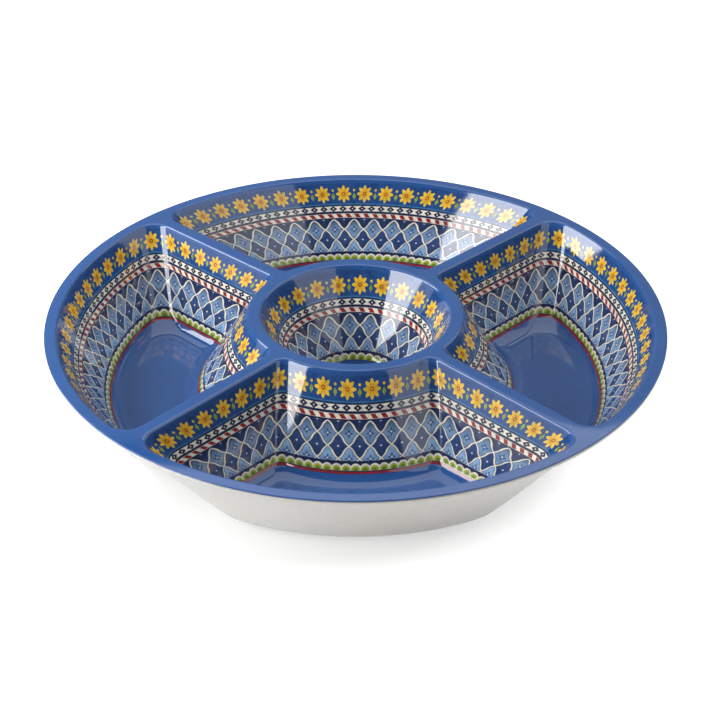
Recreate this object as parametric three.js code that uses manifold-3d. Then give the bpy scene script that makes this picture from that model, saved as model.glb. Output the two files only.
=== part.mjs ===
// Round chip and dip bowl: white outer shell, blue liner, five printed wall foils.
// Millimetres, +Z up, the front compartment towards -Y, the bottom face at Z = 0.
import * as THREE from 'three';
import { mergeVertices } from 'three/addons/utils/BufferGeometryUtils.js';
import Module from 'manifold-3d';

const wasm = await Module();
wasm.setup();

// Overall
const OUTER_DIA = 381;
const HEIGHT = 59.8;

// Layers
const LINER_T = 1.9;
const SHELL_T = 1.8;
const BOND_GAP = 0.3;
const FOIL_T = 0.5;

// Rim, dividers and dip ring. The top falls by CROWN from the ring out to the rim.
const CROWN = 3.6;
const RIM_WIDTH = 7.3;
const DIVIDER_WIDTH = 8.4;
const RING_WIDTH = 8.0;
const DIP_DIA = 117;
const EDGE_ROUND = 2.0;

// Edge of the rim: the liner thins to LIP_EDGE over a rebate that the shell fills
const LIP_ROUND = 0.6;
const LIP_EDGE = 1.0;
const LIP_REBATE = 2.5;
const LIP_STEP = 0.9;
const LIP_SEAM = 0.3;
const LIP_WHITE = 2.1;
const LIP_WHITE_ROUND = 0.8;

// Wells
const OUTER_DRAFT = 30.7;
const RING_DRAFT = 32;
const DIVIDER_DRAFT = 25;
const DIP_DRAFT = 31.5;
const FLOOR_ROUND = 14;
const OUTER_CORNER = 13;
const FLOOR_CORNER = 12;
const BOND_CORNER = 13;
const BASE_CORNER = 16;
const RING_CORNER = 7.5;
const CORNER_SHARE = 0.49;

// Printed foils
const FOIL_TOP = 2.6;
const FOIL_FLOOR_LIFT = 4.2;

// Facets
const RIM_FACETS = 72;
const DIP_FACETS = 36;
const OUTER_ARC_FACETS = 12;
const RING_ARC_FACETS = 5;
const CORNER_FACETS = 4;
const ROUND_ANGLES = [0, 34];
const LIP_ANGLES = [0, 45, 90];
const FLOOR_ANGLES = [25, 40, 62, 90];
const CUT_OVER = 6;

const rad = THREE.MathUtils.degToRad;
const rimRadius = OUTER_DIA / 2;
const wallT = LINER_T + BOND_GAP + SHELL_T;
const floorDepth = HEIGHT - wallT;
const floorCentre = floorDepth - FLOOR_ROUND;
const dipRadius = DIP_DIA / 2;
const ringRadius = dipRadius + RING_WIDTH;
const wallRadius = rimRadius - RIM_WIDTH;
const recess = FOIL_T + BOND_GAP;
const foilBottom = floorDepth - FOIL_FLOOR_LIFT;

// Distance a wall has moved into its well at a depth below the top plane.
// offset grows the well outwards, measured square to the wall.
function inset(depth, draft, offset) {
  const a = rad(draft);
  const round = FLOOR_ROUND + offset;
  const tangent = floorCentre + round * Math.sin(a);
  const shift = offset / Math.cos(a);
  if (offset === 0 && depth < EDGE_ROUND * (1 - Math.sin(a))) {
    const rise = EDGE_ROUND - Math.max(depth, 0);
    const reach = Math.sqrt(EDGE_ROUND * EDGE_ROUND - rise * rise);
    return EDGE_ROUND * (Math.tan(a) - 1 / Math.cos(a)) + reach;
  }
  if (depth <= tangent) return depth * Math.tan(a) - shift;
  const sine = Math.min((depth - floorCentre) / round, 1);
  const arc = round * (Math.cos(a) - Math.sqrt(1 - sine * sine));
  return tangent * Math.tan(a) - shift + arc;
}

// Growth of a plan corner's radius where the well is grown by offset. It fades out along the floor fillet.
function cornerGrowth(depth, offset) {
  const sine = (depth - floorCentre) / (FLOOR_ROUND + offset);
  const lean = THREE.MathUtils.clamp(sine, Math.sin(rad(DIVIDER_DRAFT)), 1);
  return offset * Math.sqrt(1 - lean * lean);
}

// Plan radius of an outer corner at the bottom of a layer: the face and its foil, the bond, the outside.
function lowCorner(offset) {
  if (offset < LINER_T) return FLOOR_CORNER;
  return offset < wallT ? BOND_CORNER : BASE_CORNER;
}

// Plan radius of the two outer corners of a compartment, changing evenly from the rim down.
function outerCornerRadius(depth, offset) {
  const share = THREE.MathUtils.clamp(depth / (floorDepth + offset), 0, 1);
  return THREE.MathUtils.lerp(OUTER_CORNER, lowCorner(offset), share) + cornerGrowth(depth, offset);
}

function arcPoints(centre, radius, from, to, count) {
  const points = [];
  for (let i = 0; i <= count; i += 1) {
    const a = from + ((to - from) * i) / count;
    points.push([centre[0] + radius * Math.cos(a), centre[1] + radius * Math.sin(a)]);
  }
  return points;
}

// Plan outline of a compartment about +X, counter-clockwise, between dividers at -45 and +45 degrees.
// A corner takes at most CORNER_SHARE of the room from the ring to the outer wall.
function sectorOutline(depth, offset) {
  const outer = wallRadius - inset(depth, OUTER_DRAFT, offset);
  const inner = ringRadius + inset(depth, RING_DRAFT, offset);
  const side = DIVIDER_WIDTH / 2 + inset(depth, DIVIDER_DRAFT, offset);
  const cornerRoom = (outer - inner) * CORNER_SHARE;
  const outerCorner = Math.min(outerCornerRadius(depth, offset), cornerRoom);
  const ringCorner = Math.min(RING_CORNER + cornerGrowth(depth, offset), cornerRoom);
  const quarter = Math.PI / 4;
  const outerV = side + outerCorner;
  const outerU = Math.sqrt((outer - outerCorner) ** 2 - outerV ** 2);
  const ringV = side + ringCorner;
  const ringU = Math.sqrt((inner + ringCorner) ** 2 - ringV ** 2);
  const place = (u, v) => [(u + v) * Math.SQRT1_2, (v - u) * Math.SQRT1_2];
  const outerAngle = Math.atan2(outerV, outerU) - quarter;
  const ringAngle = Math.atan2(ringV, ringU) - quarter;
  const toSide = -3 * quarter;
  const ringEnd = arcPoints(place(ringU, ringV), ringCorner, ringAngle - Math.PI, toSide, CORNER_FACETS);
  const outerEnd = arcPoints(place(outerU, outerV), outerCorner, toSide, outerAngle, CORNER_FACETS);
  const half = [...ringEnd, ...outerEnd];
  const mirrored = half.map(([x, y]) => [x, -y]).reverse();
  const outerArc = arcPoints([0, 0], outer, outerAngle, -outerAngle, OUTER_ARC_FACETS).slice(1, -1);
  const ringArc = arcPoints([0, 0], inner, -ringAngle, ringAngle, RING_ARC_FACETS).slice(1, -1);
  return [...half, ...outerArc, ...mirrored, ...ringArc];
}

// Plan outline of the dip well.
function dipOutline(depth, offset) {
  const radius = dipRadius - inset(depth, DIP_DRAFT, offset);
  return arcPoints([0, 0], radius, 0, 2 * Math.PI, DIP_FACETS).slice(0, -1);
}

function ringAt(outline, depth, offset, shapeDepth = depth) {
  return outline(shapeDepth, offset).map(([x, y]) => [x, y, HEIGHT - depth]);
}

// Triangles between two rings of points that start at the given indices.
function edgeTriangles(top, low, count) {
  const triangles = [];
  for (let i = 0; i < count; i += 1) {
    const j = (i + 1) % count;
    triangles.push(low + i, low + j, top + j);
    triangles.push(low + i, top + j, top + i);
  }
  return triangles;
}

function sideTriangles(rings, count) {
  const triangles = [];
  for (let r = 0; r + 1 < rings; r += 1) triangles.push(...edgeTriangles(r * count, (r + 1) * count, count));
  return triangles;
}

function capTriangles(ring, base, up) {
  const contour = ring.map(([x, y]) => new THREE.Vector2(x, y));
  const triangles = [];
  for (const [a, b, c] of THREE.ShapeUtils.triangulateShape(contour, [])) {
    const area = THREE.ShapeUtils.area([contour[a], contour[b], contour[c]]);
    const facesUp = area > 0;
    if (facesUp === up) triangles.push(base + a, base + b, base + c);
    else triangles.push(base + a, base + c, base + b);
  }
  return triangles;
}

function toGeometry(rings, triangles) {
  const geometry = new THREE.BufferGeometry();
  geometry.setAttribute('position', new THREE.Float32BufferAttribute(rings.flat(2), 3));
  geometry.setIndex(triangles);
  return geometry;
}

// Solid between stacked outlines, the first one on top.
function loft(rings) {
  const count = rings[0].length;
  const triangles = sideTriangles(rings.length, count);
  triangles.push(...capTriangles(rings[0], 0, true));
  triangles.push(...capTriangles(rings.at(-1), (rings.length - 1) * count, false));
  return toGeometry(rings, triangles);
}

// Closed band between a face that looks into the well and the back behind it, both listed from the top.
function band(face, back) {
  const count = face[0].length;
  const faceSide = sideTriangles(face.length, count).reverse();
  const backSide = sideTriangles(back.length, count).map((i) => i + face.length * count);
  const topEdge = edgeTriangles(0, face.length * count, count);
  const lowEdge = edgeTriangles((face.length - 1) * count, (face.length + back.length - 1) * count, count);
  const triangles = [...faceSide, ...backSide, ...topEdge, ...lowEdge.reverse()];
  return toGeometry([...face, ...back], triangles);
}

function solid(geometry) {
  const bare = new THREE.BufferGeometry();
  bare.setAttribute('position', geometry.getAttribute('position'));
  if (geometry.index) bare.setIndex(geometry.index);
  const merged = mergeVertices(bare, 1e-4);
  const mesh = new wasm.Mesh({
    numProp: 3,
    vertProperties: new Float32Array(merged.getAttribute('position').array),
    triVerts: new Uint32Array(merged.index.array),
  });
  return new wasm.Manifold(mesh);
}

function revolve(profile) {
  const points = profile.map(([r, depth]) => new THREE.Vector2(r, HEIGHT - depth));
  const geometry = new THREE.LatheGeometry(points, RIM_FACETS);
  geometry.rotateX(Math.PI / 2);
  return solid(geometry);
}

// Depths that a surface needs between two limits: the limits and the steps of the floor fillet.
function depthsBetween(from, to, offset) {
  const round = FLOOR_ROUND + offset;
  const steps = FLOOR_ANGLES.map((a) => floorCentre + round * Math.sin(rad(a)));
  return [from, ...steps.filter((d) => d > from + 0.2 && d < to - 0.2), to];
}

function surface(outline, from, to, offset) {
  return depthsBetween(from, to, offset).map((d) => ringAt(outline, d, offset));
}

// Fills a well grown outwards by offset, from a depth to below its floor.
function grownWell(outline, offset, from) {
  return loft(surface(outline, from, floorDepth + offset, offset));
}

// As grownWell, carried straight up past the top plane so that it cuts cleanly.
function grownCutter(outline, offset) {
  const rings = surface(outline, 0, floorDepth + offset, offset);
  rings.unshift(ringAt(outline, -CUT_OVER, offset, 0));
  return loft(rings);
}

// The well itself: rounded top edge, recess for the foil, rounded floor edge.
function wellCutter(outline) {
  const top = FOIL_TOP - BOND_GAP;
  const low = foilBottom + BOND_GAP;
  const edge = ROUND_ANGLES.map((a) => EDGE_ROUND * (1 - Math.cos(rad(a))));
  const rings = [ringAt(outline, -CUT_OVER, 0, 0)];
  rings.push(...edge.map((d) => ringAt(outline, d, 0)));
  rings.push(ringAt(outline, EDGE_ROUND * (1 - Math.sin(rad(DIVIDER_DRAFT))), 0));
  rings.push(ringAt(outline, top, 0));
  rings.push(...surface(outline, top, low, recess));
  rings.push(...surface(outline, low, floorDepth, 0));
  return loft(rings);
}

function foil(outline) {
  const face = surface(outline, FOIL_TOP, foilBottom, 0);
  const back = surface(outline, FOIL_TOP, foilBottom, FOIL_T);
  return band(face, back);
}

const sectorTurns = { right: 0, back: 90, left: 180, front: 270 };
const turned = (geometry, turn) => geometry.clone().rotateZ(rad(turn));

// Solids of one shape for the four compartments and one for the dip well. make takes a plan outline.
function inEachWell(make) {
  const sector = make(sectorOutline);
  const sectors = Object.values(sectorTurns).map((turn) => solid(turned(sector, turn)));
  return [...sectors, solid(make(dipOutline))];
}

const addAll = (body, others) => others.reduce((sum, other) => sum.add(other), body);
const cutAll = (body, others) => others.reduce((rest, other) => rest.subtract(other), body);

// Liner: top plate with a thin rounded edge, five cups, five wells.
const lipArc = LIP_ANGLES.map((a) => {
  const reach = LIP_ROUND * Math.sin(rad(a));
  return [rimRadius - LIP_ROUND + reach, LIP_ROUND - LIP_ROUND * Math.cos(rad(a))];
});
const rebateRadius = rimRadius - LIP_REBATE;
const linerPlate = revolve([
  [0, LINER_T],
  [rebateRadius - LIP_STEP, LINER_T],
  [rebateRadius, LIP_EDGE],
  [rimRadius - LIP_SEAM, LIP_EDGE],
  [rimRadius, LIP_EDGE - LIP_SEAM],
  ...lipArc.reverse(),
  [0, 0],
]);
const linerCups = inEachWell((outline) => grownWell(outline, LINER_T, LINER_T / 2));
const wells = inEachWell(wellCutter);
const liner = cutAll(addAll(linerPlate, linerCups), wells);

// Shell: second plate with the white lip edge, pods under the cups.
const plateTop = LINER_T + BOND_GAP;
const plateLow = plateTop + SHELL_T;
const whiteTop = LIP_EDGE + BOND_GAP;
const whiteLow = whiteTop + LIP_WHITE;
const shellRadius = rimRadius - BOND_GAP;
const shellPlate = revolve([
  [0, plateLow],
  [rebateRadius - LIP_STEP, plateLow],
  [shellRadius - LIP_WHITE_ROUND, whiteLow],
  [shellRadius, whiteLow - LIP_WHITE_ROUND],
  [shellRadius, whiteTop + LIP_SEAM],
  [shellRadius - LIP_SEAM, whiteTop],
  [rebateRadius + BOND_GAP, whiteTop],
  [rebateRadius - LIP_STEP + BOND_GAP, plateTop],
  [0, plateTop],
]);
const podStart = plateTop + SHELL_T / 2;
const pods = inEachWell((outline) => grownWell(outline, wallT, podStart));
const seats = inEachWell((outline) => grownCutter(outline, plateTop));
const shell = cutAll(addAll(shellPlate, pods), seats);

function geometryOf(body) {
  const { vertProperties, triVerts } = body.getMesh();
  const geometry = new THREE.BufferGeometry();
  geometry.setAttribute('position', new THREE.BufferAttribute(new Float32Array(vertProperties), 3));
  geometry.setIndex(new THREE.BufferAttribute(new Uint32Array(triVerts), 1));
  return geometry;
}

// Lets the top fall evenly from the dip ring out to the rim. The fall fades out towards the base.
function crown(geometry) {
  const place = geometry.getAttribute('position');
  for (let i = 0; i < place.count; i += 1) {
    const reach = Math.hypot(place.getX(i), place.getY(i)) - ringRadius;
    const share = THREE.MathUtils.clamp(reach / (rimRadius - ringRadius), 0, 1);
    place.setZ(i, place.getZ(i) * (1 - (CROWN * share) / HEIGHT));
  }
}

function meshOf(geometry, name, material) {
  crown(geometry);
  geometry.computeVertexNormals();
  const mesh = new THREE.Mesh(geometry, material);
  mesh.name = name;
  return mesh;
}

const white = new THREE.MeshStandardMaterial({ color: 0xe9e8e3, roughness: 0.3, metalness: 0 });
const blue = new THREE.MeshStandardMaterial({ color: 0x2c4c8c, roughness: 0.15, metalness: 0 });
const printed = new THREE.MeshStandardMaterial({ color: 0x6d8fb4, roughness: 0.15, metalness: 0 });

const bowl = new THREE.Group();
bowl.name = 'chip_and_dip_bowl';
bowl.add(meshOf(geometryOf(shell), 'outer_shell', white));
bowl.add(meshOf(geometryOf(liner), 'inner_liner', blue));
for (const [side, turn] of Object.entries(sectorTurns)) {
  const sectorFoil = meshOf(foil(sectorOutline), `${side}_foil`, printed);
  sectorFoil.rotation.z = rad(turn);
  bowl.add(sectorFoil);
}
bowl.add(meshOf(foil(dipOutline), 'dip_foil', printed));

export default bowl;
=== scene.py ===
import math

import bmesh
import bpy
import numpy as np
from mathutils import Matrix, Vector


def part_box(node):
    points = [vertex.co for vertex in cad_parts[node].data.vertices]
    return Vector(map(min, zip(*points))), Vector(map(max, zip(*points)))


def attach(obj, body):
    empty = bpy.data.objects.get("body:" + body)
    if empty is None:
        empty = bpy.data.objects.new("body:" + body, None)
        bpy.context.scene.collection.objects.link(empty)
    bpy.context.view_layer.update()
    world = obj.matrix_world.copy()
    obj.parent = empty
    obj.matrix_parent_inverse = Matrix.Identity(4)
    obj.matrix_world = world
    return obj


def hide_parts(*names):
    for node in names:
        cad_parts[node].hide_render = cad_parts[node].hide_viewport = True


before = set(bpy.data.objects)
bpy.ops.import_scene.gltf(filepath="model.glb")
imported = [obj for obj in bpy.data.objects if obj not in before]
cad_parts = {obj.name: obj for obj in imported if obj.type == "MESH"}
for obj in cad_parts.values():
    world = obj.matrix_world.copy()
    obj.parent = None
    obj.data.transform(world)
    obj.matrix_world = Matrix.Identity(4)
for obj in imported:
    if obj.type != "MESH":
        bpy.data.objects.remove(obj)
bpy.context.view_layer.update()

# Round chip and dip bowl: a white shell, a blue liner and five printed wall foils.
# Shapes are worked out in millimetres below the top plane and written in metres.
MM = 0.001
RIM_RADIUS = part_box("inner_liner")[1][0] / MM
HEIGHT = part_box("inner_liner")[1][2] / MM

# Layers
LINER_T = 1.9
SHELL_T = 1.8
BOND_GAP = 0.3
FOIL_T = 0.5
FOIL_EDGE_GAP = 0.02

# Rim, dividers and dip ring. The top falls by CROWN from the ring out to the rim. At the lip the liner thins
# to LIP_EDGE over its last LIP_REBATE, and the shell's white edge, LIP_WHITE deep, fills the step below it.
CROWN = 3.6
RIM_WIDTH = 7.3
DIVIDER_WIDTH = 8.4
RING_WIDTH = 8.0
DIP_RADIUS = 58.5
EDGE_ROUND = 2.0
LIP_ROUND = 0.6
LIP_EDGE = 1.0
LIP_REBATE = 2.5
LIP_STEP = 0.9
LIP_SEAM = 0.3
LIP_WHITE = 2.1
LIP_WHITE_ROUND = 0.8
POD_ROOT_ROUND = 1.8

# Wells
OUTER_DRAFT = math.radians(30.7)
RING_DRAFT = math.radians(32)
DIVIDER_DRAFT = math.radians(25)
DIP_DRAFT = math.radians(31.5)
FLOOR_ROUND = 14
OUTER_CORNER = 13
FLOOR_CORNER = 12
BOND_CORNER = 13
BASE_CORNER = 16
RING_CORNER = 7.5
FOIL_TOP = 2.6
FOIL_FLOOR_LIFT = 4.2

# Facets
RIM_STEPS = 240
DIP_STEPS = 120
OUTER_ARC_STEPS = 56
RING_ARC_STEPS = 28
CORNER_STEPS = 10
SIDE_STEPS = 14
WALL_STEPS = 12
ROUND_STEPS = 8
SHARP_ANGLE = math.radians(40)

WALL_T = LINER_T + BOND_GAP + SHELL_T
SEAT_OFFSET = LINER_T + BOND_GAP
FLOOR_DEPTH = HEIGHT - WALL_T
FLOOR_CENTRE = FLOOR_DEPTH - FLOOR_ROUND
RING_RADIUS = DIP_RADIUS + RING_WIDTH
WALL_RADIUS = RIM_RADIUS - RIM_WIDTH
REBATE_RADIUS = RIM_RADIUS - LIP_REBATE
FOIL_BOTTOM = FLOOR_DEPTH - FOIL_FLOOR_LIFT
SECTOR_TURNS = {"right": 0, "back": 90, "left": 180, "front": 270}
HALF_SECTOR = math.radians(45)


def wall_inset(depth, draft, offset):
    """How far a wall has moved into its well at a depth, for the well grown outwards by offset."""
    tangent = FLOOR_CENTRE + (FLOOR_ROUND + offset) * math.sin(draft)
    shift = offset / math.cos(draft)
    if depth <= tangent:
        return depth * math.tan(draft) - shift
    fillet = FLOOR_ROUND + offset
    sine = min((depth - FLOOR_CENTRE) / fillet, 1)
    reach = fillet * (math.cos(draft) - math.sqrt(1 - sine * sine))
    return tangent * math.tan(draft) - shift + reach


def well_inset(depth, draft):
    """The visible well wall: as wall_inset, with its top edge rounded over."""
    if depth >= EDGE_ROUND * (1 - math.sin(draft)):
        return wall_inset(depth, draft, 0)
    rise = EDGE_ROUND - depth
    reach = math.sqrt(EDGE_ROUND**2 - rise**2)
    return EDGE_ROUND * (math.tan(draft) - 1 / math.cos(draft)) + reach


def pod_inset(depth, draft):
    """The outside of a pod: as wall_inset, with a hollow round where it leaves the plate."""
    below = depth - WALL_T
    if below >= POD_ROOT_ROUND * (1 - math.sin(draft)):
        return wall_inset(depth, draft, WALL_T)
    spread = POD_ROOT_ROUND * math.tan((math.pi / 2 - draft) / 2)
    reach = POD_ROOT_ROUND * math.sin(math.acos(1 - below / POD_ROOT_ROUND))
    return wall_inset(WALL_T, draft, WALL_T) - spread + reach


def corner_growth(depth, offset):
    """What a plan corner gains where the well is grown by offset. It fades along the floor fillet."""
    sine = (depth - FLOOR_CENTRE) / (FLOOR_ROUND + offset)
    lean = min(max(sine, math.sin(DIVIDER_DRAFT)), 1)
    return offset * math.sqrt(1 - lean * lean)


def low_corner(offset):
    """Plan radius of an outer corner at the bottom of a layer."""
    if offset < LINER_T:
        return FLOOR_CORNER
    return BOND_CORNER if offset < WALL_T else BASE_CORNER


def outer_corner_radius(depth, offset):
    """Plan radius of an outer corner of a compartment, changing evenly from the rim down."""
    share = depth / (FLOOR_DEPTH + offset)
    return OUTER_CORNER + (low_corner(offset) - OUTER_CORNER) * share + corner_growth(depth, offset)


def arc(centre, radius, start, end, steps):
    """Points of an arc, from one angle to another."""
    angles = np.linspace(start, end, steps + 1)
    return np.stack([centre[0] + radius * np.cos(angles), centre[1] + radius * np.sin(angles)], 1)


def sector_plan(inset_of, depth, offset):
    """Plan outline of a compartment about +X, between dividers at -45 and +45 degrees."""
    outer = WALL_RADIUS - inset_of(OUTER_DRAFT)
    inner = RING_RADIUS + inset_of(RING_DRAFT)
    side = DIVIDER_WIDTH / 2 + inset_of(DIVIDER_DRAFT)
    outer_corner = outer_corner_radius(depth, offset)
    ring_corner = RING_CORNER + corner_growth(depth, offset)
    outer_v = side + outer_corner
    outer_u = math.sqrt((outer - outer_corner) ** 2 - outer_v**2)
    ring_v = side + ring_corner
    ring_u = math.sqrt((inner + ring_corner) ** 2 - ring_v**2)
    outer_angle = math.atan2(outer_v, outer_u) - HALF_SECTOR
    ring_angle = math.atan2(ring_v, ring_u) - HALF_SECTOR
    to_side = -HALF_SECTOR - math.pi / 2

    def place(u, v):
        """The point at u along the divider on the right and v square to it."""
        return (u + v) * math.cos(HALF_SECTOR), (v - u) * math.sin(HALF_SECTOR)

    ring_end = arc(place(ring_u, ring_v), ring_corner, ring_angle - math.pi, to_side, CORNER_STEPS)
    outer_end = arc(place(outer_u, outer_v), outer_corner, to_side, outer_angle, CORNER_STEPS)
    side_run = np.linspace(ring_end[-1], outer_end[0], SIDE_STEPS + 1)[1:-1]
    half = np.concatenate([ring_end, side_run, outer_end])
    mirrored = (half * (1, -1))[::-1]
    outer_arc = arc((0, 0), outer, outer_angle, -outer_angle, OUTER_ARC_STEPS)[1:-1]
    ring_arc = arc((0, 0), inner, -ring_angle, ring_angle, RING_ARC_STEPS)[1:-1]
    return np.concatenate([half, outer_arc, mirrored, ring_arc])


def dip_plan(inset_of, depth, offset):
    """Plan outline of the dip well. It has no corners, so only the inset counts."""
    return arc((0, 0), DIP_RADIUS - inset_of(DIP_DRAFT), 0, 2 * math.pi, DIP_STEPS)[:-1]


class Well:
    """One of the five wells: its plan, turned into place, at any depth of any of its layers."""

    def __init__(self, name, plan, turn):
        self.name = name
        self.plan = plan
        self.turn = math.radians(turn)

    def at(self, depth, offset, inset_of):
        """The outline at a depth, moved in by what inset_of gives for each draft."""
        flat = self.plan(inset_of, depth, offset)
        c, s = math.cos(self.turn), math.sin(self.turn)
        turned = flat @ np.array([[c, s], [-s, c]])
        return np.column_stack([turned, np.full(len(turned), HEIGHT - depth)])

    def face(self, depth):
        """The visible wall."""
        return self.at(depth, 0, lambda draft: well_inset(depth, draft))

    def grown(self, depth, offset):
        """The wall grown outwards by offset."""
        return self.at(depth, offset, lambda draft: wall_inset(depth, draft, offset))

    def pod(self, depth):
        """The outside of the pod."""
        return self.at(depth, WALL_T, lambda draft: pod_inset(depth, draft))


WELLS = [Well(side, sector_plan, turn) for side, turn in SECTOR_TURNS.items()]
WELLS.append(Well("dip", dip_plan, 0))


def wall_depths(start, end, offset):
    """Depths for a wall between two limits, closer together round the floor fillet."""
    tangent = FLOOR_CENTRE + (FLOOR_ROUND + offset) * math.sin(DIVIDER_DRAFT)
    straight = list(np.linspace(start, min(end, tangent), WALL_STEPS + 1))
    if end <= tangent:
        return straight
    first = math.asin((tangent - FLOOR_CENTRE) / (FLOOR_ROUND + offset))
    last = math.asin(min((end - FLOOR_CENTRE) / (FLOOR_ROUND + offset), 1))
    angles = np.linspace(first, last, ROUND_STEPS + 1)[1:]
    return straight + [FLOOR_CENTRE + (FLOOR_ROUND + offset) * math.sin(a) for a in angles]


def round_depths(radius, draft):
    """Depths down an edge of that radius that turns from level to the draft."""
    angles = np.linspace(0, math.pi / 2 - draft, ROUND_STEPS + 1)
    return [radius * (1 - math.cos(a)) for a in angles]


def circle(radius, depth):
    """A ring of points about the axis."""
    flat = arc((0, 0), radius, 0, 2 * math.pi, RIM_STEPS)[:-1]
    return np.column_stack([flat, np.full(len(flat), HEIGHT - depth)])


class Solid:
    """A closed mesh made of rings of points, the strips between them, caps and pierced plates."""

    def __init__(self, name):
        self.name = name
        self.bm = bmesh.new()

    def ring(self, points):
        """A ring of vertices at points given in millimetres."""
        return [self.bm.verts.new(point * MM) for point in points]

    def strip(self, upper, lower):
        """Quads between two rings of as many vertices."""
        count = len(upper)
        for i in range(count):
            j = (i + 1) % count
            self.bm.faces.new((upper[i], upper[j], lower[j], lower[i]))

    def stack(self, rings):
        """Rings of points joined in order. Returns their first and last ring of vertices."""
        made = [self.ring(points) for points in rings]
        for upper, lower in zip(made, made[1:]):
            self.strip(upper, lower)
        return made[0], made[-1]

    def cap(self, ring):
        """One face that closes a ring."""
        self.bm.faces.new(ring)

    def plate(self, loops):
        """A level plate inside the first loop, pierced by the others."""
        edges = []
        for loop in loops:
            edges += [self.bm.edges.get((a, b)) for a, b in zip(loop, loop[1:] + loop[:1])]
        bmesh.ops.triangle_fill(self.bm, edges=edges, use_beauty=True, normal=(0, 0, 1))

    def crown(self):
        """Let the top fall evenly from the dip ring out to the rim, less and less towards the base."""
        for vertex in self.bm.verts:
            reach = vertex.co.xy.length / MM - RING_RADIUS
            share = max(reach / (RIM_RADIUS - RING_RADIUS), 0)
            vertex.co.z *= 1 - CROWN * share / HEIGHT

    def finish(self, material):
        """The crowned mesh as a piece in the scene, shaded smooth up to SHARP_ANGLE."""
        bm = self.bm
        self.crown()
        bmesh.ops.recalc_face_normals(bm, faces=bm.faces[:])
        for face in bm.faces:
            face.smooth = True
        for edge in bm.edges:
            edge.smooth = edge.calc_face_angle(0) < SHARP_ANGLE
        mesh = bpy.data.meshes.new(self.name)
        bm.to_mesh(mesh)
        bm.free()
        mesh.materials.append(material)
        piece = bpy.data.objects.new(self.name, mesh)
        bpy.context.scene.collection.objects.link(piece)
        weighted = piece.modifiers.new("weighted_normals", "WEIGHTED_NORMAL")
        weighted.keep_sharp = True
        return piece


def make_liner(material):
    """Top plate with a thin rounded edge, five wells with recesses for the foils, five cups below."""
    solid = Solid("liner_blue")
    recess = FOIL_T + FOIL_EDGE_GAP
    top = FOIL_TOP - FOIL_EDGE_GAP
    low = FOIL_BOTTOM + FOIL_EDGE_GAP
    lip = []
    for angle in np.linspace(0, math.pi / 2, ROUND_STEPS + 1):
        reach = LIP_ROUND * math.sin(angle)
        lip.append(circle(RIM_RADIUS - LIP_ROUND + reach, LIP_ROUND * (1 - math.cos(angle))))
    lip += [circle(RIM_RADIUS, LIP_EDGE - LIP_SEAM), circle(RIM_RADIUS - LIP_SEAM, LIP_EDGE)]
    lip += [circle(REBATE_RADIUS, LIP_EDGE), circle(REBATE_RADIUS - LIP_STEP, LINER_T)]
    upper, lower = solid.stack(lip)
    upper_loops, lower_loops = [upper], [lower]
    for well in WELLS:
        edge = [well.face(depth) for depth in round_depths(EDGE_ROUND, DIVIDER_DRAFT)]
        recessed = [well.grown(depth, recess) for depth in wall_depths(top, low, recess)]
        first = math.asin((low - FLOOR_CENTRE) / FLOOR_ROUND)
        angles = np.linspace(first, math.pi / 2, ROUND_STEPS + 1)
        floor = [well.face(FLOOR_CENTRE + FLOOR_ROUND * math.sin(a)) for a in angles]
        mouth, bottom = solid.stack([*edge, well.face(top), *recessed, *floor])
        solid.cap(bottom)
        cup = [well.grown(depth, LINER_T) for depth in wall_depths(LINER_T, FLOOR_DEPTH + LINER_T, LINER_T)]
        root, base = solid.stack(cup)
        solid.cap(base)
        upper_loops.append(mouth)
        lower_loops.append(root)
    solid.plate(upper_loops)
    solid.plate(lower_loops)
    return solid.finish(material)


def make_shell(material):
    """Second plate with the white edge of the lip, seats for the cups, five pods below."""
    solid = Solid("shell_white")
    white_top = LIP_EDGE + BOND_GAP
    white_low = white_top + LIP_WHITE
    edge = RIM_RADIUS - BOND_GAP
    rebate = REBATE_RADIUS + BOND_GAP
    profile = [(rebate - LIP_STEP, SEAT_OFFSET), (rebate, white_top)]
    profile += [(edge - LIP_SEAM, white_top), (edge, white_top + LIP_SEAM)]
    for angle in np.linspace(0, math.pi / 2, ROUND_STEPS + 1):
        drop = LIP_WHITE_ROUND * (1 - math.sin(angle))
        profile.append((edge - LIP_WHITE_ROUND * (1 - math.cos(angle)), white_low - drop))
    profile.append((REBATE_RADIUS - LIP_STEP, WALL_T))
    upper, lower = solid.stack([circle(radius, depth) for radius, depth in profile])
    upper_loops, lower_loops = [upper], [lower]
    for well in WELLS:
        depths = wall_depths(SEAT_OFFSET, FLOOR_DEPTH + SEAT_OFFSET, SEAT_OFFSET)
        mouth, bottom = solid.stack([well.grown(depth, SEAT_OFFSET) for depth in depths])
        solid.cap(bottom)
        root_depths = [WALL_T + depth for depth in round_depths(POD_ROOT_ROUND, DIVIDER_DRAFT)]
        depths = root_depths + wall_depths(root_depths[-1], HEIGHT, WALL_T)[1:]
        root, base = solid.stack([well.pod(depth) for depth in depths])
        solid.cap(base)
        upper_loops.append(mouth)
        lower_loops.append(root)
    solid.plate(upper_loops)
    solid.plate(lower_loops)
    return solid.finish(material)


# Bands of the print: depth of the middle, and the width of one repeat, in millimetres.
# On the dip well the whole print sits lower by DIP_PRINT_DROP.
DIP_PRINT_DROP = 1.5
BANDS = {
    "frieze": (9.2, 14.6),
    "chain": (18.4, 6.6),
    "rope": (22.7, 6.2),
    "lattice": (34.8, 12.6),
    "border": (47.4, 5.6),
}


def repeats_along(well, depth, pitch):
    """Running count of repeats at each point of the outline, with the closing point added."""
    outline = well.face(depth)
    closed = np.concatenate([outline, outline[:1]])
    run = np.concatenate([[0], np.cumsum(np.linalg.norm(np.diff(closed, axis=0), axis=1))])
    return run / run[-1] * round(run[-1] / pitch)


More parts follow.
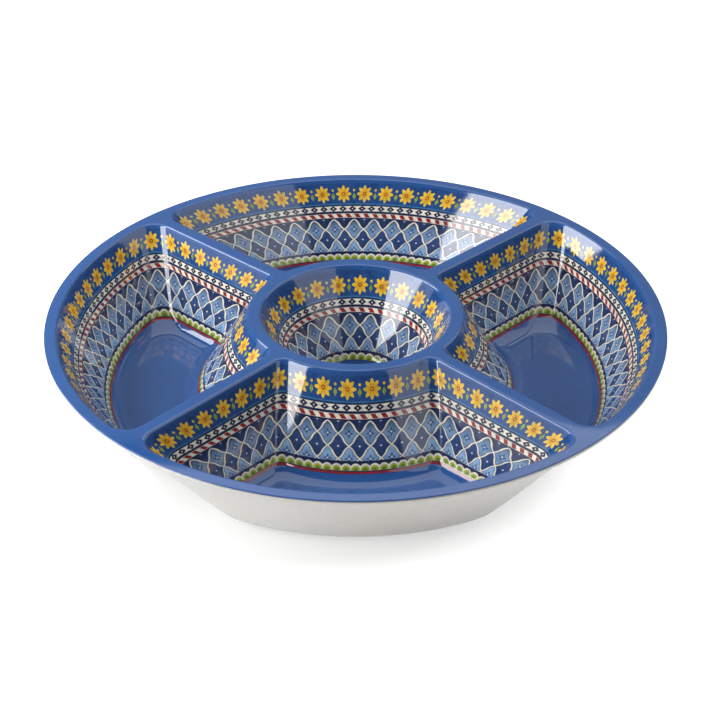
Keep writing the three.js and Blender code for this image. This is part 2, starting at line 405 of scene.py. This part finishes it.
def make_foil(well, material):
    """A thin printed band, flush with the liner above and below it."""
    solid = Solid(f"{well.name}_print")
    depths = wall_depths(FOIL_TOP, FOIL_BOTTOM, 0)
    face = [solid.ring(well.face(depth)) for depth in depths]
    back = [solid.ring(well.grown(depth, FOIL_T)) for depth in depths]
    column, level = {}, {}
    drop = DIP_PRINT_DROP if well.name == "dip" else 0
    for rings in (face, back):
        for ring, depth in zip(rings, depths):
            for i, vertex in enumerate(ring):
                column[vertex] = i
                level[vertex] = depth - drop
        for upper, lower in zip(rings, rings[1:]):
            solid.strip(upper, lower)
    solid.strip(face[0], back[0])
    solid.strip(face[-1], back[-1])
    count = len(face[0])
    for band, (middle, pitch) in BANDS.items():
        layer = solid.bm.loops.layers.uv.new(band)
        along = repeats_along(well, middle, pitch)
        for quad in solid.bm.faces:
            closing = {column[v] for v in quad.verts} == {0, count - 1}
            for loop in quad.loops:
                i = column[loop.vert]
                i = count if closing and i == 0 else i
                loop[layer].uv = (along[i], level[loop.vert])
    return solid.finish(material)


FULL_LEVEL = 255
SRGB_OFFSET = 0.055
SRGB_POWER = 2.4


def srgb(red, green, blue):
    """Linear colour from 8-bit screen values."""
    shares = [level / FULL_LEVEL for level in (red, green, blue)]
    linear = [((share + SRGB_OFFSET) / (1 + SRGB_OFFSET)) ** SRGB_POWER for share in shares]
    return (*linear, 1.0)


COBALT = srgb(48, 94, 160)
COBALT_DEEP = srgb(44, 87, 152)
FOIL_BLUE = srgb(43, 86, 148)
FOIL_BLUE_DEEP = srgb(40, 79, 139)
YELLOW = srgb(255, 212, 66)
ORANGE = srgb(236, 146, 36)
RUST = srgb(176, 84, 34)
LIME = srgb(172, 188, 58)
LEAF = srgb(104, 128, 44)
TURQUOISE = srgb(70, 132, 176)
RED = srgb(160, 44, 48)
CREAM = srgb(250, 243, 225)
NAVY = srgb(36, 46, 80)
SKY = srgb(152, 192, 232)
STEEL = srgb(58, 84, 134)
INDIGO = srgb(52, 82, 138)
WHITE = srgb(240, 239, 235)
WHITE_WARM = srgb(237, 235, 228)
BLUE_SPECK_TINT = srgb(236, 238, 244)
WHITE_SPECK_TINT = srgb(246, 245, 243)
INK_GRAIN_TINT = srgb(205, 212, 226)
INK_BLOOM_TINT = srgb(46, 50, 56)
WHITE_IOR = 1.5
GLAZE_IOR = 1.7

# Noise: repeats per metre and detail. Limits: the noise values between which a layer of colour fades in.
BLUE_MOTTLE = (22, 4)
WHITE_MOTTLE = (14, 4)
MOTTLE_LIMITS = (0.35, 0.75)
BLUE_SPECK = (420, 3)
WHITE_SPECK = (380, 3)
SPECK_LIMITS = (0.5, 0.8)
INK_GRAIN = (240, 5)
INK_GRAIN_LIMITS = (0.42, 0.72)
INK_BLOOM = (170, 4)
INK_BLOOM_LIMITS = (0.55, 0.8)

# Gloss: the noise in it, and the lowest and highest roughness. Ripple: its noise, and its height in metres.
GLOSS_NOISE = (60, 4)
GLAZE_GLOSS = (0.03, 0.08)
WHITE_GLOSS = (0.16, 0.26)
BLUE_RIPPLE = (34, 1)
BLUE_RIPPLE_HEIGHT = 0.00003
WHITE_RIPPLE = (30, 1)
WHITE_RIPPLE_HEIGHT = 0.00001
FOIL_RIPPLE = (40, 1)
FOIL_RIPPLE_HEIGHT = 0.00004

# Width of the soft edge of a painted shape, and the sockets of a Mix node that carry colour.
PAINT_EDGE = 0.13
MIX_FIRST = 6
MIX_SECOND = 7
MIX_RESULT = 2


class Wire:
    """A number in a shader node tree. Arithmetic on it adds Math nodes."""

    def __init__(self, tree, socket):
        self.tree = tree
        self.socket = socket

    def math(self, operation, *others, clamp=False):
        """The result of a Math node on this and the others, each a wire or a plain number."""
        node = self.tree.nodes.new("ShaderNodeMath")
        node.operation = operation
        node.use_clamp = clamp
        for slot, value in zip(node.inputs, (self, *others)):
            if isinstance(value, Wire):
                self.tree.links.new(value.socket, slot)
            else:
                slot.default_value = value
        return Wire(self.tree, node.outputs[0])

    def __add__(self, other):
        return self.math("ADD", other)

    def __sub__(self, other):
        return self.math("SUBTRACT", other)

    def __mul__(self, other):
        return self.math("MULTIPLY", other)

    def __truediv__(self, other):
        return self.math("DIVIDE", other)

    def abs(self):
        return self.math("ABSOLUTE")

    def fract(self):
        return self.math("FRACT")

    def floor(self):
        return self.math("FLOOR")

    def cosine(self):
        return self.math("COSINE")

    def sine(self):
        return self.math("SINE")

    def least(self, other):
        return self.math("MINIMUM", other)

    def most(self, other):
        return self.math("MAXIMUM", other)

    def hypot(self, other):
        return (self * self + other * other).math("SQRT")

    def angle(self, across):
        """Direction of the point that lies this far up and so far across."""
        return self.math("ARCTAN2", across)

    def inside(self, soft=PAINT_EDGE):
        """1 where the distance is below 0, 0 above it, with a soft edge."""
        return self.math("MULTIPLY_ADD", -0.5 / soft, 0.5, clamp=True)


class Paint:
    """Layers of colour on one material, the lowest first."""

    def __init__(self, name):
        self.material = bpy.data.materials.new(name)
        self.material.use_nodes = True
        self.tree = self.material.node_tree
        self.shader = self.tree.nodes["Principled BSDF"]
        self.colour = None

    def node(self, kind, **settings):
        """A new shader node with its settings."""
        node = self.tree.nodes.new(kind)
        for key, value in settings.items():
            setattr(node, key, value)
        return node

    def noise(self, scale, detail):
        """Smooth noise over the object, in repeats per metre, about 0 to 1."""
        place = self.node("ShaderNodeTexCoord")
        noise = self.node("ShaderNodeTexNoise")
        noise.inputs["Scale"].default_value = scale
        noise.inputs["Detail"].default_value = detail
        self.tree.links.new(place.outputs["Object"], noise.inputs["Vector"])
        return Wire(self.tree, noise.outputs[0])

    def uv(self, name):
        """Repeats along the band and depth below the top plane, from that UV map."""
        split = self.node("ShaderNodeSeparateXYZ")
        source = self.node("ShaderNodeUVMap", uv_map=name)
        self.tree.links.new(source.outputs["UV"], split.inputs[0])
        return Wire(self.tree, split.outputs["X"]), Wire(self.tree, split.outputs["Y"])

    def start(self, colour):
        """The ground colour."""
        self.colour = colour

    def lay(self, colour, mask):
        """A layer that covers what is below it."""
        self.mix("MIX", colour, mask)

    def mix(self, blend, colour, mask):
        """A layer that is blended with what is below it."""
        node = self.node("ShaderNodeMix", data_type="RGBA", blend_type=blend)
        first = node.inputs[MIX_FIRST]
        self.tree.links.new(mask.socket, node.inputs[0])
        if isinstance(self.colour, tuple):
            first.default_value = self.colour
        else:
            self.tree.links.new(self.colour, first)
        node.inputs[MIX_SECOND].default_value = colour
        self.colour = node.outputs[MIX_RESULT]

    def finish(self, roughness, ripple, ripple_height, ior):
        """The material, with its gloss and a slight ripple."""
        links = self.tree.links
        links.new(self.colour, self.shader.inputs["Base Color"])
        links.new(roughness.socket, self.shader.inputs["Roughness"])
        bump = self.node("ShaderNodeBump")
        bump.inputs["Strength"].default_value = 1.0
        bump.inputs["Distance"].default_value = ripple_height
        links.new(ripple.socket, bump.inputs["Height"])
        links.new(bump.outputs["Normal"], self.shader.inputs["Normal"])
        self.shader.inputs["IOR"].default_value = ior
        return self.material


def ease(wire, low, high):
    """0 at low, 1 at high, straight between."""
    return ((wire - low) / (high - low)).math("ADD", 0.0, clamp=True)


def gloss(paint, low, high):
    """Uneven gloss: a roughness between two limits."""
    return paint.noise(*GLOSS_NOISE) * (high - low) + low


def blue_melamine():
    """Glossy blue with slight clouds and fine specks."""
    paint = Paint("blue_melamine")
    paint.start(COBALT)
    paint.lay(COBALT_DEEP, ease(paint.noise(*BLUE_MOTTLE), *MOTTLE_LIMITS))
    paint.mix("MULTIPLY", BLUE_SPECK_TINT, ease(paint.noise(*BLUE_SPECK), *SPECK_LIMITS))
    ripple = paint.noise(*BLUE_RIPPLE)
    return paint.finish(gloss(paint, *GLAZE_GLOSS), ripple, BLUE_RIPPLE_HEIGHT, GLAZE_IOR)


def white_melamine():
    """Satin white with slight warm clouds and fine specks."""
    paint = Paint("white_melamine")
    paint.start(WHITE)
    paint.lay(WHITE_WARM, ease(paint.noise(*WHITE_MOTTLE), *MOTTLE_LIMITS))
    paint.mix("MULTIPLY", WHITE_SPECK_TINT, ease(paint.noise(*WHITE_SPECK), *SPECK_LIMITS))
    ripple = paint.noise(*WHITE_RIPPLE)
    return paint.finish(gloss(paint, *WHITE_GLOSS), ripple, WHITE_RIPPLE_HEIGHT, WHITE_IOR)


def band_place(paint, band, shift=0):
    """Distance along one repeat from its middle, and depth from the band's middle, in millimetres."""
    middle, pitch = BANDS[band]
    along, depth = paint.uv(band)
    return ((along + shift).fract() - 0.5) * pitch, depth - middle


# Frieze of rosettes. Motifs are in millimetres, and each depth is from the middle of the band.
PETALS = 8
PETAL_REACH = 4.4
PETAL_SWELL = 0.95
FURROW_LIMITS = (-0.1, -0.9)
FURROW_STRENGTH = 0.55
HEART_RADIUS = 2.3
HEART_EDGE = 0.9
HEART_STRENGTH = 0.5
EYE_RADIUS = 1.2
PUPIL_RADIUS = 0.5
LEAF_HALF_WIDTH = 1.2
LEAF_HALF_LENGTH = 2.2
LEAF_DEPTH = 1.5
VEIN_HALF_WIDTH = 0.14
VEIN_EDGE = 0.08
VEIN_SHARE = 0.8
BEAD_DEPTH = -2.3
BEAD_RADIUS = 0.75
THREAD_DEPTH = 6.3
THREAD_HALF_WIDTH = 0.28


def paint_frieze(paint):
    """Eight-petal rosettes, a leaf and a bead between them, and a thin line below."""
    x, y = band_place(paint, "frieze")
    reach = x.hypot(y)
    lobes = (y.angle(x) * PETALS).cosine()
    petals = (reach - (lobes * PETAL_SWELL + PETAL_REACH)).inside()
    paint.lay(YELLOW, petals)
    paint.lay(ORANGE, ease(lobes, *FURROW_LIMITS).least(petals) * FURROW_STRENGTH)
    paint.lay(ORANGE, (reach - HEART_RADIUS).inside(HEART_EDGE) * HEART_STRENGTH)
    paint.lay(RUST, (reach - EYE_RADIUS).inside())
    paint.lay(YELLOW, (reach - PUPIL_RADIUS).inside())
    gap_x, gap_y = band_place(paint, "frieze", shift=0.5)
    leaf = gap_x.abs() / LEAF_HALF_WIDTH + (gap_y - LEAF_DEPTH).abs() / LEAF_HALF_LENGTH
    vein = (gap_x.abs() - VEIN_HALF_WIDTH).inside(VEIN_EDGE)
    paint.lay(LIME, (leaf - 1.0).inside())
    paint.lay(LEAF, vein.least((leaf - VEIN_SHARE).inside()))
    paint.lay(YELLOW, (gap_x.hypot(gap_y - BEAD_DEPTH) - BEAD_RADIUS).inside())
    paint.lay(TURQUOISE, ((y - THREAD_DEPTH).abs() - THREAD_HALF_WIDTH).inside())


# Chain of lozenges. Its navy ground reaches on under the rope.
CHAIN_GROUND_DEPTH = 2.1
CHAIN_GROUND_HALF_WIDTH = 4.4
CHAIN_HALF_WIDTH = 1.55
LOZENGE_HALF_LENGTH = 2.75
LOZENGE_HALF_HEIGHT = 1.75
LOZENGE_SIZE = 1.3
LOZENGE_EYE = 0.42


def paint_chain(paint):
    """Navy lozenges on a cream band."""
    x, y = band_place(paint, "chain")
    paint.lay(NAVY, ((y - CHAIN_GROUND_DEPTH).abs() - CHAIN_GROUND_HALF_WIDTH).inside())
    paint.lay(CREAM, (y.abs() - CHAIN_HALF_WIDTH).inside())
    lozenge = x.abs() / LOZENGE_HALF_LENGTH + y.abs() / LOZENGE_HALF_HEIGHT
    paint.lay(NAVY, ((lozenge - 1.0) * LOZENGE_SIZE).inside())
    paint.lay(CREAM, (x.hypot(y) - LOZENGE_EYE).inside())


# Rope twist. TWIST_LEAN is a share of one repeat.
ROPE_HALF_WIDTH = 1.35
TWIST_CURVE = 0.9
TWIST_LEAN = 0.16
TWIST_HALF_WIDTH = 1.55
TWIST_HALF_HEIGHT = 1.2


def paint_rope(paint):
    """Red and cream slanting twists."""
    middle, pitch = BANDS["rope"]
    along, depth = paint.uv("rope")
    y = depth - middle
    lean = (y * TWIST_CURVE).sine() * TWIST_LEAN
    twist = ((along + lean).fract() - 0.5).abs() * pitch
    paint.lay(CREAM, (y.abs() - ROPE_HALF_WIDTH).inside())
    paint.lay(RED, (twist - TWIST_HALF_WIDTH).inside().least((y.abs() - TWIST_HALF_HEIGHT).inside()))


# Net of lozenges, between two depths below the top plane. NET_WAVE is a share of one mesh.
NET_TOP = 24.9
NET_LOW = 44.9
MESH_HEIGHT = 12.6
NET_WAVE = 0.035
NET_WAVES = 2
MESH_SHADE_LIMITS = (-4.5, 5.0)
MESH_SHADE = 0.45
NET_SHADE_LIMITS = (NET_TOP + 8, NET_TOP + 1)
NET_SHADE = 0.8
FLOWER_PETALS = 4
FLOWER_REACH = 1.75
FLOWER_SWELL = 0.75
FLOWER_EDGE = 0.2
FLOWER_STRENGTH = 0.8
FLOWER_EYE = 0.6
CORD_SLANT = 0.7
CORD_HALF_WIDTH = 0.42
CORD_RIM = 0.75
CORD_RIM_STRENGTH = 0.9
CORD_EDGE = 0.15


def paint_lattice(paint):
    """Curved lozenge net in two blues, a small four-petal flower in each mesh."""
    pitch = BANDS["lattice"][1]
    along, depth = paint.uv("lattice")
    field = (depth - NET_TOP) / MESH_HEIGHT
    curve = field + (field * (NET_WAVES * 2 * math.pi)).sine() * NET_WAVE
    first = along + curve
    second = along - curve
    across = first.fract() - 0.5
    down = second.fract() - 0.5
    x = (across + down) * (pitch / 2)
    y = (across - down) * (MESH_HEIGHT / 2)
    zone = ((depth - (NET_TOP + NET_LOW) / 2).abs() - (NET_LOW - NET_TOP) / 2).inside()
    parity = ((first.floor() + second.floor()) * 0.5).fract() * 2.0
    paint.lay(STEEL, zone)
    paint.lay(SKY, zone.least(parity))
    paint.lay(NAVY, zone.least(ease(y, *MESH_SHADE_LIMITS) * MESH_SHADE))
    paint.lay(NAVY, zone.least(ease(depth, *NET_SHADE_LIMITS) * NET_SHADE))
    reach = x.hypot(y)
    lobes = (y.angle(x) * FLOWER_PETALS).cosine()
    petals = (reach - (lobes * FLOWER_SWELL + FLOWER_REACH)).inside(FLOWER_EDGE)
    paint.lay(INDIGO, zone.least(petals) * FLOWER_STRENGTH)
    paint.lay(CREAM, zone.least((reach - FLOWER_EYE).inside()))
    edge = (across.abs().most(down.abs()) - 0.5).abs() * (pitch * CORD_SLANT)
    paint.lay(NAVY, zone.least((edge - CORD_RIM).inside(CORD_EDGE)) * CORD_RIM_STRENGTH)
    paint.lay(CREAM, zone.least((edge - CORD_HALF_WIDTH).inside(CORD_EDGE)))


# Scalloped border
BORDER_GROUND_DEPTH = 0.6
BORDER_GROUND_HALF_WIDTH = 3.2
SCALLOP_DEPTH = 2.3
SCALLOP_RADIUS = 3.6
SCALLOP_GREEN = 2.6
SCALLOP_HEART = 1.4
SCALLOP_HEART_EDGE = 0.3
RED_LINE_DEPTH = 3.35
RED_LINE_HALF_WIDTH = 0.5


def paint_border(paint):
    """Cream and green scallops on navy, over a red line."""
    x, y = band_place(paint, "border")
    paint.lay(NAVY, ((y - BORDER_GROUND_DEPTH).abs() - BORDER_GROUND_HALF_WIDTH).inside())
    reach = x.hypot(y - SCALLOP_DEPTH)
    above = (y - SCALLOP_DEPTH).inside()
    paint.lay(CREAM, (reach - SCALLOP_RADIUS).inside().least(above))
    paint.lay(LIME, (reach - SCALLOP_GREEN).inside().least(above))
    paint.lay(LEAF, (reach - SCALLOP_HEART).inside(SCALLOP_HEART_EDGE).least(above))
    paint.lay(RED, ((y - RED_LINE_DEPTH).abs() - RED_LINE_HALF_WIDTH).inside())


def printed_foil():
    """The blue ground with the bands of the print on it, and an uneven, slightly bloomed ink."""
    paint = Paint("printed_foil")
    paint.start(FOIL_BLUE)
    paint.lay(FOIL_BLUE_DEEP, ease(paint.noise(*BLUE_MOTTLE), *MOTTLE_LIMITS))
    paint_lattice(paint)
    paint_chain(paint)
    paint_rope(paint)
    paint_border(paint)
    paint_frieze(paint)
    paint.mix("MULTIPLY", INK_GRAIN_TINT, ease(paint.noise(*INK_GRAIN), *INK_GRAIN_LIMITS))
    paint.mix("SCREEN", INK_BLOOM_TINT, ease(paint.noise(*INK_BLOOM), *INK_BLOOM_LIMITS))
    ripple = paint.noise(*FOIL_RIPPLE)
    return paint.finish(gloss(paint, *GLAZE_GLOSS), ripple, FOIL_RIPPLE_HEIGHT, GLAZE_IOR)


def add_piece(piece, node):
    """Let a piece stand for its CAD node, on the bowl's one body."""
    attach(piece, "root")
    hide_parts(node)


add_piece(make_shell(white_melamine()), "outer_shell")
add_piece(make_liner(blue_melamine()), "inner_liner")
foil_material = printed_foil()
for well in WELLS:
    add_piece(make_foil(well, foil_material), f"{well.name}_foil")


# Floor and world, in metres. The floor's bounce falls to KEY_SIDE_ALBEDO towards the key lamp. What shows
# of the floor is the light on it, which gives the real shadow, and a glow. The glow is lower near the bowl,
# round GLOW_CENTRE: painted shade on the floor about the bowl.
FLOOR_SIZE = 14.0
FLOOR_DROP = 0.0002
FLOOR_ALBEDO = 0.9
KEY_SIDE_ALBEDO = 0.3
KEY_SIDE_START = -0.3
KEY_SIDE_END = -0.05
SEEN_ALBEDO = 0.48
SEEN_GLOW_NEAR = 0.57
SEEN_GLOW_FAR = 1.0
GLOW_CENTRE = (-0.03, -0.03, 0)
GLOW_START = 0.14
GLOW_END = 0.18
AMBIENT = 0.07


def seen_directly(tree):
    """1 for rays that show a surface as a picture: from the camera, in gloss or through glass."""
    path = tree.nodes.new("ShaderNodeLightPath")
    camera = Wire(tree, path.outputs["Is Camera Ray"])
    glossy = Wire(tree, path.outputs["Is Glossy Ray"])
    through = Wire(tree, path.outputs["Is Transmission Ray"])
    return camera.most(glossy).most(through)


def make_floor():
    """A pale floor that shows white, with painted shade round the bowl. Its bounce is lower under the key,
    so as not to bleach the shell.
    """
    mesh = bpy.data.meshes.new("floor")
    half = FLOOR_SIZE / 2
    corners = [(-half, -half), (half, -half), (half, half), (-half, half)]
    mesh.from_pydata([(x, y, -FLOOR_DROP) for x, y in corners], [], [(0, 1, 2, 3)])
    floor = bpy.data.objects.new("floor", mesh)
    bpy.context.scene.collection.objects.link(floor)
    material = bpy.data.materials.new("pale_floor")
    material.use_nodes = True
    tree = material.node_tree
    tree.nodes.clear()
    output = tree.nodes.new("ShaderNodeOutputMaterial")
    place = tree.nodes.new("ShaderNodeTexCoord")
    split = tree.nodes.new("ShaderNodeSeparateXYZ")
    tree.links.new(place.outputs["Object"], split.inputs[0])
    away = ease(Wire(tree, split.outputs["X"]), KEY_SIDE_START, KEY_SIDE_END)
    albedo = away * (FLOOR_ALBEDO - KEY_SIDE_ALBEDO) + KEY_SIDE_ALBEDO
    plain = tree.nodes.new("ShaderNodeBsdfDiffuse")
    tree.links.new(albedo.socket, plain.inputs["Color"])
    seen = tree.nodes.new("ShaderNodeBsdfDiffuse")
    seen.inputs["Color"].default_value = (SEEN_ALBEDO, SEEN_ALBEDO, SEEN_ALBEDO, 1)
    glow = tree.nodes.new("ShaderNodeEmission")
    # The glow is lower within GLOW_START of GLOW_CENTRE: painted shade on the floor round the bowl.
    distance = tree.nodes.new("ShaderNodeVectorMath")
    distance.operation = "DISTANCE"
    distance.inputs[1].default_value = GLOW_CENTRE
    tree.links.new(place.outputs["Object"], distance.inputs[0])
    far = ease(Wire(tree, distance.outputs["Value"]), GLOW_START, GLOW_END)
    strength = far * (SEEN_GLOW_FAR - SEEN_GLOW_NEAR) + SEEN_GLOW_NEAR
    tree.links.new(strength.socket, glow.inputs["Strength"])
    both = tree.nodes.new("ShaderNodeAddShader")
    tree.links.new(seen.outputs[0], both.inputs[0])
    tree.links.new(glow.outputs[0], both.inputs[1])
    choose = tree.nodes.new("ShaderNodeMixShader")
    tree.links.new(seen_directly(tree).socket, choose.inputs[0])
    tree.links.new(plain.outputs[0], choose.inputs[1])
    tree.links.new(both.outputs[0], choose.inputs[2])
    tree.links.new(choose.outputs[0], output.inputs["Surface"])
    mesh.materials.append(material)


def make_world():
    """Faint even light from all sides."""
    world = bpy.data.worlds.new("studio")
    bpy.context.scene.world = world
    world.use_nodes = True
    tree = world.node_tree
    background = tree.nodes["Background"]
    background.inputs["Color"].default_value = (1, 1, 1, 1)
    background.inputs["Strength"].default_value = AMBIENT


def make_softbox(name, azimuth, elevation, distance, width, height, radiance):
    """A lamp that faces the bowl. Azimuth is from the camera's side, positive to its right."""
    lamp = bpy.data.lights.new(name, "AREA")
    lamp.shape = "RECTANGLE"
    lamp.size = width
    lamp.size_y = height
    lamp.energy = radiance * math.pi * width * height
    turn = math.radians(azimuth)
    rise = math.radians(elevation)
    place = Vector((math.sin(turn) * math.cos(rise), -math.cos(turn) * math.cos(rise), math.sin(rise)))
    softbox = bpy.data.objects.new(name, lamp)
    softbox.location = place * distance + Vector((0, 0, HEIGHT * MM))
    softbox.rotation_euler = place.to_track_quat("Z", "Y").to_euler()
    bpy.context.scene.collection.objects.link(softbox)


# Lamps: azimuth, elevation, distance, width, height and radiance, in degrees and metres.
SOFTBOXES = {
    "key_left": (-84, 31, 0.9, 1.12, 0.365, 7.6),
    "low_left": (-82, 9, 0.8, 0.8, 0.3, 0.95),
    "fill_right": (85, 40, 0.75, 1.6, 0.5, 1.1),
    "overhead": (-170, 67.5, 1.1, 1.3, 1.07, 1.19),
    "backdrop": (180, 22, 1.4, 2.4, 0.9, 0.26),
}


# Camera, as found from the photograph: angles in degrees, distance in rim radii, focus in pixels. The plane
# of the rim that it was found from lies RIM_DROP, in millimetres, below the top.
IMAGE_WIDTH = 710
SENSOR_WIDTH = 36
FOCUS_PIXELS = 2079.8
CAMERA_DISTANCE = 6.7205
CAMERA_ELEVATION = math.radians(31.302)
CAMERA_PITCH = math.radians(32.329)
CAMERA_TURN = math.radians(0.8)
CAMERA_YAW = math.radians(-0.02)
RIM_DROP = 3.9


def make_camera():
    """The camera, set by its place above the plane of the rim."""
    data = bpy.data.cameras.new("camera")
    data.sensor_fit = "HORIZONTAL"
    data.sensor_width = SENSOR_WIDTH
    data.lens = FOCUS_PIXELS / IMAGE_WIDTH * SENSOR_WIDTH
    camera = bpy.data.objects.new("camera", data)
    reach = CAMERA_DISTANCE * RIM_RADIUS * MM
    back = reach * math.cos(CAMERA_ELEVATION)
    height = reach * math.sin(CAMERA_ELEVATION) + (HEIGHT - RIM_DROP) * MM
    camera.location = (-back * math.sin(CAMERA_TURN), -back * math.cos(CAMERA_TURN), height)
    camera.rotation_euler = (math.pi / 2 - CAMERA_PITCH, 0, -CAMERA_TURN - CAMERA_YAW)
    bpy.context.scene.collection.objects.link(camera)
    bpy.context.scene.camera = camera


make_floor()
make_world()
for name, settings in SOFTBOXES.items():
    make_softbox(name, *settings)
make_camera()
bpy.context.scene.view_settings.view_transform = "Standard"
